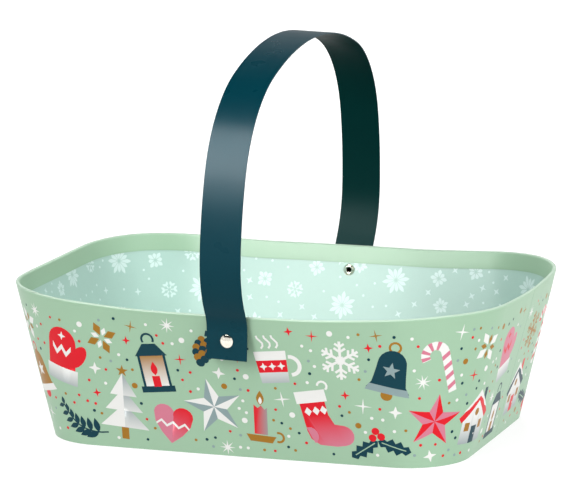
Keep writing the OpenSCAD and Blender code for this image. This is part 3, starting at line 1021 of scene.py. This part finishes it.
def closed_sheet(cells, patches, holes, ground, place, way, uv):
    """A printed sheet with a front, a back and edges.

    For a cell and a flat point, place gives the solid points in front and behind, way the front's
    direction, and uv the place on the map of the front (0) or the back (1)."""
    found, kept, _ = triangles(cells, patches, holes)
    skin, front, back = Skin(), {}, {}
    for face, cell, patch in kept:
        for p in face:
            if p not in front:
                near, far = place(cell, found[p])
                front[p], back[p] = skin.point(near), skin.point(far)
    sense = None
    for face, cell, patch in kept:
        ways = [way(cell, found[p]) for p in face]
        if sense is None:
            a, b, c = (skin.points[front[p]] for p in face)
            sense = (b - a).cross(c - a).dot(ways[0]) > 0
        order = list(face) if sense else list(reversed(face))
        ways = ways if sense else ways[::-1]
        inks = [ink_at(patch, found[p]) if patch else ground for p in order]
        skin.face([front[p] for p in order], inks, [uv(cell, found[p], 0) for p in order], ways)
        skin.face([back[p] for p in reversed(order)], [ground] * 3,
                  [uv(cell, found[p], 1) for p in reversed(order)], [-w for w in reversed(ways)])
    edges = {pair: cell for face, cell, patch in kept for pair in sides(face)}
    for (a, b), cell in edges.items():
        if (b, a) not in edges:
            loop = [front[a], front[b], back[b], back[a]]
            skin.face(loop[::-1] if sense else loop, [ground] * 4, [uv(cell, found[b], 1)] * 4)
            skin.sharp += [(front[a], front[b]), (back[a], back[b])]
    return skin


def lining_place(cell, p):
    w, s = inside.share(cell, p)
    return (on_wall(cell, w, s, LINING_IN, inside.low, inside.high),
            on_wall(cell, w, s, LINING_OUT, inside.low, inside.high))


def lining_map(cell, p, layer):
    """The back is plain, so its map is squashed into a narrow edge."""
    w, s = inside.share(cell, p)
    u, v = map_place(cell, w, LINING_ON_MAP, s)
    return (u, v * 0.004) if layer else (u, v)


seats = [pivot_outline(inside, side, SEAT_WIDE, SEAT_POINTS, SEAT_TOP) for side in (-1, 1)]
shanks = [pivot_outline(inside, side, SHANK_HOLE) for side in (-1, 1)]
snowflake_lining = closed_sheet(
    [inside.quad(i) for i in range(COUNT)], inside_print.patches, seats + shanks, MINT,
    lining_place, lambda cell, p: -facing(cell, inside.share(cell, p)[0]),
    lining_map).piece("snowflake_lining")
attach(snowflake_lining, "tray")
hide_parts("wall_lining")
print("snowflake lining:", len(snowflake_lining.data.polygons), "faces")

# %% The floor's lining
FLOOR_GAP, FLOOR_MAP = 0.3, 304
FLAKES_TO_X, FLAKES_TO_Y = 150, 102


class FlatFloor:
    """The floor, which is flat already, measured from its middle."""

    def stand(self, along, height):
        return Vector((along, height)), Vector((0, 1))


def floor_map(cell, p, layer):
    """The floor lies on its map as it is, with its plain back squashed like the lining's."""
    u, v = p.x / FLOOR_MAP + 0.5, p.y / FLOOR_MAP
    return (u, 0.01 + v / 100) if layer else (u, v + 0.5)


floor_edge = [wall_point(c, LINING_IN + FLOOR_GAP, FLOOR_Z).to_2d() for c in columns]
floor_print = Print(FlatFloor())
scatter_flakes(floor_print, lambda r: (r.uniform(-FLAKES_TO_X, FLAKES_TO_X),
                                       r.uniform(-FLAKES_TO_Y, FLAKES_TO_Y)), share=0.55, seed=3)
floor_lining = closed_sheet(
    [floor_edge], floor_print.patches, [], MINT,
    lambda cell, p: (Vector((p.x, p.y, FLOOR_Z + PAPER)), Vector((p.x, p.y, FLOOR_Z))),
    lambda cell, p: Vector((0, 0, 1)), floor_map).piece("floor_lining")
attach(floor_lining, "tray")
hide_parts("base_lining")
print("floor lining:", len(floor_lining.data.polygons), "faces")

# %% [markdown]
# ## The strap and the rivets
# The solids of the strap and the rivets already have the right shape, but their edges are knife
# sharp and their triangles are loose. A copy of each is merged, its flat faces are joined up again,
# and a Bevel modifier rounds the edges as a paint film or a press tool does. The copy replaces the
# solid, which stays for the physics.

# %% A worked copy of a CAD piece
MERGE_M = 1e-6
FLAT_DEG, CORNER_DEG, SMOOTH_DEG = 0.5, 40, 32


def worked_copy(node, name, body, round_mm):
    """A copy with whole flat faces and rounded edges, which replaces its CAD piece."""
    obj = put_in_scene(name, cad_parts[node].data.copy())
    obj.data.name = name
    bpy.ops.object.select_all(action="DESELECT")
    obj.select_set(True)
    bpy.context.view_layer.objects.active = obj
    bpy.ops.object.mode_set(mode="EDIT")
    bpy.ops.mesh.select_all(action="SELECT")
    bpy.ops.mesh.customdata_custom_splitnormals_clear()
    bpy.ops.mesh.remove_doubles(threshold=MERGE_M)
    bpy.ops.mesh.dissolve_limited(angle_limit=math.radians(FLAT_DEG))
    bpy.ops.object.mode_set(mode="OBJECT")
    bevel = obj.modifiers.new("rounding", "BEVEL")
    bevel.width, bevel.segments = round_mm * MM, 2
    bevel.limit_method, bevel.angle_limit = "ANGLE", math.radians(CORNER_DEG)
    bpy.ops.object.modifier_apply(modifier="rounding")
    bpy.ops.object.shade_smooth_by_angle(angle=math.radians(SMOOTH_DEG))
    obj.modifiers.new("flat_faces_lead", "WEIGHTED_NORMAL").keep_sharp = True
    bpy.ops.object.modifier_apply(modifier="flat_faces_lead")
    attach(obj, body)
    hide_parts(node)
    print(name, "faces:", len(obj.data.polygons))
    return obj


UNDER_THE_STRAP, INWARD = Vector((0, 0, 0.15)), 0.02
strap = worked_copy("handle_strap", "strap", "handle", 0.22)
inner_faces = [face for face in strap.data.polygons
               if face.normal.dot(UNDER_THE_STRAP - face.center) > INWARD * face.center.length]
print("strap faces that look inwards:", len(inner_faces))
rivets = [worked_copy(side + "_rivet", side + "_rivet_worked", "tray", 0.12)
          for side in ("front", "back")]

# %% [markdown]
# ## Writing shader maths
# A finish is a small network of nodes. Building each node by hand would hide the idea, so a value in
# a network is wrapped in a class whose operators add Math nodes, and one method makes any other node
# from its type, its settings and the values of its sockets.

# %% The shader helpers
# How deep the grain of each surface is, in metres.
PAPER_GRAIN, BOARD_GRAIN, FIBRE_GRAIN = 0.00002, 0.00006, 0.00004
PAINT_GRAIN, NICKEL_GRAIN = 0.00001, 0.000006


class Value:
    """A number in a finish, which can be added, taken away and multiplied."""

    def __init__(self, finish, socket):
        self.finish, self.socket = finish, socket

    def __add__(self, other):
        return self.finish.maths("ADD", self, other)

    def __sub__(self, other):
        return self.finish.maths("SUBTRACT", self, other)

    def __rsub__(self, other):
        return self.finish.maths("SUBTRACT", other, self)

    def __mul__(self, other):
        return self.finish.maths("MULTIPLY", self, other)

    __radd__, __rmul__ = __add__, __mul__


class Finish:
    """One material, and the nodes that make it."""

    def __init__(self, name, roughness, metallic=0.0):
        self.material = bpy.data.materials.new(name)
        self.material.use_nodes = True
        self.tree = self.material.node_tree
        self.shader = self.tree.nodes["Principled BSDF"]
        self.set("Roughness", roughness)
        self.set("Metallic", metallic)
        self.place = self.node("ShaderNodeTexCoord", {}, {}, "Object")

    def set(self, socket, value):
        socket = self.shader.inputs[socket] if isinstance(socket, str) else socket
        if isinstance(value, Value):
            self.tree.links.new(value.socket, socket)
        else:
            socket.default_value = value

    def node(self, kind, settings, sockets, output=0):
        made = self.tree.nodes.new(kind)
        for key, value in settings.items():
            setattr(made, key, value)
        for key, value in sockets.items():
            self.set(made.inputs[key], value)
        return Value(self, made.outputs[output])

    def maths(self, operation, first, second):
        return self.node("ShaderNodeMath", {"operation": operation}, {0: first, 1: second})

    def noise(self, scale, detail=2.0, rough=0.5, place=None):
        return self.node("ShaderNodeTexNoise", {}, {"Vector": place or self.place, "Scale": scale,
                                                    "Detail": detail, "Roughness": rough})

    def stretch(self, x, y, z):
        return self.node("ShaderNodeMapping", {}, {"Vector": self.place, "Scale": (x, y, z)})

    def mix(self, share, first, second):
        """A colour between two, given without their alpha."""
        return self.node("ShaderNodeMix", {"data_type": "RGBA"},
                         {0: share, 6: (*first, 1), 7: (*second, 1)}, 2)

    def tint(self, colour, amount):
        """Multiplies a colour by a grey amount that varies about one."""
        grey = self.node("ShaderNodeCombineColor", {}, {0: amount, 1: amount, 2: amount})
        return self.node("ShaderNodeMix", {"data_type": "RGBA", "blend_type": "MULTIPLY"},
                         {0: 1.0, 6: colour, 7: grey}, 2)

    def step(self, value, low, high):
        return self.node("ShaderNodeMapRange", {"interpolation_type": "SMOOTHSTEP"},
                         {"Value": value, "From Min": low, "From Max": high})

    def bump(self, height, depth):
        self.set("Normal", self.node("ShaderNodeBump", {},
                                     {"Height": height, "Distance": depth, "Strength": 1.0}))

    def dress(self, *objects):
        for obj in objects:
            obj.data.materials.clear()
            obj.data.materials.append(self.material)


print("shader helpers ready")

# %% [markdown]
# ## The papers
# All the papers are smooth coated stock with a satin varnish over board. Up close the ground isn't
# one colour: the paper's fibres show as a faint mottle, and the board under it makes the gloss swim a
# little. The wrap's two ends lap over each other in the middle of the right-hand end, which shows as
# a fine line with a step. The lining is a duller stock and a touch more mottled.

# %% Printed paper
# Where the right-hand end is, and where the lap's line and step are across it, in metres.
RIGHT_END, LAP_STEP = (0.13, 0.14), (0.0017, 0.0021)
LAP_FROM, LAP_MIDDLE, LAP_TO = 0.0016, 0.00195, 0.0024


def paper_finish(name, roughness, mottle, gloss, seam=False):
    """Satin paper in its printed inks, mottled by its fibres, with the wrap's lap where it has one."""
    finish = Finish(name, roughness)
    colour = finish.node("ShaderNodeAttribute", {"attribute_name": "ink"}, {}, "Color")
    clouds, fibres = finish.noise(90, 4, 0.6), finish.noise(1400, 2, 0.6)
    shade = 1 - mottle + clouds * mottle + fibres * mottle
    height = fibres * 0.6 + finish.noise(260, 3) * 0.8 + finish.noise(16, 1) * 9
    if seam:
        x, y = (finish.node("ShaderNodeSeparateXYZ", {}, {0: finish.place}, k) for k in (0, 1))
        right = finish.step(x, *RIGHT_END)
        line = finish.step(y, LAP_FROM, LAP_MIDDLE) - finish.step(y, LAP_MIDDLE, LAP_TO)
        shade = shade * (1 - line * right * 0.16)
        height = height + finish.step(y, *LAP_STEP) * right * 8
    finish.set("Base Color", finish.tint(colour, shade))
    finish.set("Roughness", roughness - 0.05 + clouds * 0.1)
    finish.set("Specular IOR Level", gloss)
    finish.bump(height, PAPER_GRAIN)
    return finish


paper_finish("printed_wrap_paper", roughness=0.34, mottle=0.035, gloss=0.12, seam=True).dress(printed_wrap)
paper_finish("snowflake_lining_paper", roughness=0.4, mottle=0.07, gloss=0.18).dress(
    snowflake_lining, floor_lining)
print("printed papers finished")

# %% Plain paper under the base, and the greyboard
cover = Finish("cover_paper", 0.6)
cover.set("Base Color", cover.tint(cover.mix(cover.noise(70, 4), ink(168, 201, 170), ink(181, 214, 184)),
                                   0.96 + cover.noise(1200, 2) * 0.08))
cover.bump(cover.noise(900, 3) + cover.noise(30, 2) * 4, PAPER_GRAIN)
cover.dress(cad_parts["base_cover"])
board = Finish("grey_board", 0.85)
flecks = board.step(board.noise(650, 3, 0.7, board.stretch(1, 1, 0.3)), 0.62, 0.74)
board.set("Base Color", board.mix(flecks, ink(172, 160, 140), ink(122, 112, 98)))
board.bump(board.noise(1100, 4, 0.6), BOARD_GRAIN)
board.dress(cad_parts["wall_board"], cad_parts["base_board"])
print("papers and board finished")

# %% [markdown]
# ## Strap, rivets and collars
# The strap is painted a deep blue-green in a satin finish, duller and greener on the inner face, with
# a fine orange-peel that softens its long highlights. Gloss can't be painted on like a colour, so the
# inner face has a finish of its own, given face by face. That finish is also darker, which is painted
# shade for the side of the strap that the light hardly reaches. The rivets are bright nickel with faint
# turning marks, and dark and dull inside the tube, the darkness being painted shade for the deep bore. The
# collars are dark fibre.

# %% Painted strap
def strap_paint(name, deep, pale, roughness, gloss):
    """Satin paint that drifts between two near colours, with orange peel in it."""
    paint = Finish(name, roughness)
    paint.set("Base Color", paint.tint(paint.mix(paint.noise(14, 3), deep, pale),
                                       0.94 + paint.noise(700, 2) * 0.12))
    paint.set("Roughness", roughness - 0.05 + paint.noise(60, 3) * 0.1)
    paint.set("Specular IOR Level", gloss)
    paint.bump(paint.noise(420, 2) + paint.noise(60, 1) * 2, PAINT_GRAIN)
    return paint


def give_faces(obj, finish, faces):
    """Gives a piece a second finish on some of its faces."""
    obj.data.materials.append(finish.material)
    for face in faces:
        face.material_index = len(obj.data.materials) - 1


outer_paint = strap_paint("satin_strap_paint", ink(1, 43, 53), ink(2, 49, 59), roughness=0.29, gloss=0.08)
# The inner paint is darker and greener than the outer; its darkness is painted shade for the side that the
# light hardly reaches.
shaded_inner_paint = strap_paint("inner_strap_paint_painted_shade", ink(1, 33, 32), ink(2, 41, 40), roughness=0.4, gloss=0.02)
outer_paint.dress(strap)
give_faces(strap, shaded_inner_paint, inner_faces)
print("strap finishes:", [m.name for m in strap.data.materials])

# %% Nickel and fibre
nickel = Finish("bright_nickel", 0.18, 1.0)
nickel.set("Base Color", nickel.mix(nickel.noise(300, 3), ink(240, 235, 220), ink(248, 244, 232)))
nickel.set("Roughness", 0.13 + nickel.noise(900, 2, 0.5, nickel.stretch(1, 6, 1)) * 0.12)
nickel.bump(nickel.noise(1500, 2, 0.5, nickel.stretch(1, 8, 1)), NICKEL_GRAIN)
nickel.dress(*rivets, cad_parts["front_washer"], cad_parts["back_washer"])
BORE_OUT, BORE_RADIUS = 133 * MM, 1.9 * MM  # how far the bore lies from the middle and from the pivot
# The dark base colour in the tube is painted shade for the deep bore, which is plated like the rest.
bore = Finish("tube_bore_painted_shade", 0.5, 1.0)
bore.set("Base Color", bore.mix(bore.noise(1600, 3), ink(30, 28, 22), ink(66, 60, 46)))
pivot_line = Vector((PIVOT_X, 0, PIVOT_Z)) * MM
for rivet in rivets:
    inside_tube = [face for face in rivet.data.polygons if abs(face.center.y) < BORE_OUT
                   and (face.center - pivot_line).xz.length < BORE_RADIUS]
    give_faces(rivet, bore, inside_tube)
    print(rivet.name, "faces inside the tube:", len(inside_tube))
fibre = Finish("dark_fibre", 0.7)
fibre.set("Base Color", fibre.mix(fibre.noise(1800, 3), ink(34, 38, 38), ink(58, 60, 56)))
fibre.bump(fibre.noise(2200, 3), FIBRE_GRAIN)
fibre.dress(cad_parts["front_collar"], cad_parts["back_collar"])
print("finishes:", sorted(m.name for m in bpy.data.materials))

# %% [markdown]
# ## Floor and light
# The trug was lit by large soft boxes in a white room and stands on clear white. The floor glows
# evenly, like a light table, so that it stays white and still takes a faint shadow. Even light comes
# from a wide silk overhead, which a sun lamp with a broad disc stands for, because it lights the far
# floor as well as the near one. A box in front, one on the right and one behind light the walls.
#
# Paint, paper and nickel also mirror the room. A tall strip gives the strap its long highlight, and
# four white walls give the rivets their pale face under a dark ceiling. Those lights are seen in
# gloss alone, and the others aren't seen in gloss, so each part of the look is set by itself.

# %% The pale floor
FLOOR_WIDE, FLOOR_GLOW = 14, 0.82
bpy.ops.object.select_all(action="DESELECT")
bpy.ops.mesh.primitive_plane_add(size=FLOOR_WIDE, location=(0, 0, 0))
floor = bpy.context.active_object
floor.name = "studio_floor"
floor_paint = Finish("studio_floor", 0.9)
floor_paint.set("Base Color", floor_paint.mix(floor_paint.noise(3, 2), [0.19] * 3, [0.21] * 3))
floor_paint.set("Specular IOR Level", 0.1)
floor_paint.set("Emission Color", (1, 1, 1, 1))
floor_paint.set("Emission Strength", FLOOR_GLOW)
floor_paint.dress(floor)
print("floor:", floor.name)

# %% The soft light
def toward(azimuth, elevation):
    """A direction out from the trug; azimuth 0 is the front, and grows to the right."""
    a, e = math.radians(azimuth), math.radians(elevation)
    return Vector((math.sin(a) * math.cos(e), -math.cos(a) * math.cos(e), math.sin(e)))


LIGHTS_AWAY, LIGHTS_AIM = 2.5, Vector((0, 0, 0.12))
ROOM_LIGHT, SILK_ANGLE, WALLS_UP = 0.2, 50, 14


def light(name, kind, azimuth, elevation, energy, in_gloss=False, **settings):
    """A light that looks at the trug's middle from a direction, seen in gloss alone or not in gloss."""
    data = bpy.data.lights.new(name, kind)
    data.energy = energy
    for key, value in settings.items():
        setattr(data, key, value)
    obj = put_in_scene(name, data)
    obj.visible_diffuse, obj.visible_glossy = not in_gloss, in_gloss
    way = toward(azimuth, elevation)
    obj.matrix_world = (Matrix.Translation(way * LIGHTS_AWAY + LIGHTS_AIM)
                        @ way.to_track_quat("Z", "Y").to_matrix().to_4x4())
    return obj


sky = bpy.data.worlds.new("white_room")
sky.use_nodes = True
sky.node_tree.nodes["Background"].inputs["Color"].default_value = (1, 1, 1, 1)
sky.node_tree.nodes["Background"].inputs["Strength"].default_value = ROOM_LIGHT
sky.cycles_visibility.glossy = False
bpy.context.scene.world = sky
# Each light's name and kind, its azimuth and elevation in degrees, and its energy.
light("ceiling_silk", "SUN", -10, 64, 1.7, angle=math.radians(SILK_ANGLE))
light("front_box", "AREA", -21, 28, 42, shape="RECTANGLE", size=0.9, size_y=1.2)
light("right_box", "AREA", 72, 20, 58, shape="SQUARE", size=1.1)
light("back_box", "AREA", -158, 28, 62, shape="SQUARE", size=1.2)
strip = light("highlight_strip", "AREA", -21, 36, 230, in_gloss=True,
              shape="RECTANGLE", size=1.3, size_y=2.0)
for turn, energy in ((0, 33), (90, 33), (180, 16), (270, 33)):
    light("white_wall_%d" % turn, "AREA", turn, WALLS_UP, energy, in_gloss=True,
          shape="RECTANGLE", size=5, size_y=2.4)
all_but_front_rivet = bpy.data.collections.new("all_but_front_rivet")
for obj in (strap, printed_wrap, snowflake_lining, floor_lining, rivets[1],
            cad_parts["front_washer"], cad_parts["back_washer"]):
    all_but_front_rivet.objects.link(obj)
strip.light_linking.receiver_collection = all_but_front_rivet
bpy.context.scene.view_settings.view_transform = "Standard"
bpy.context.scene.view_settings.look = "None"
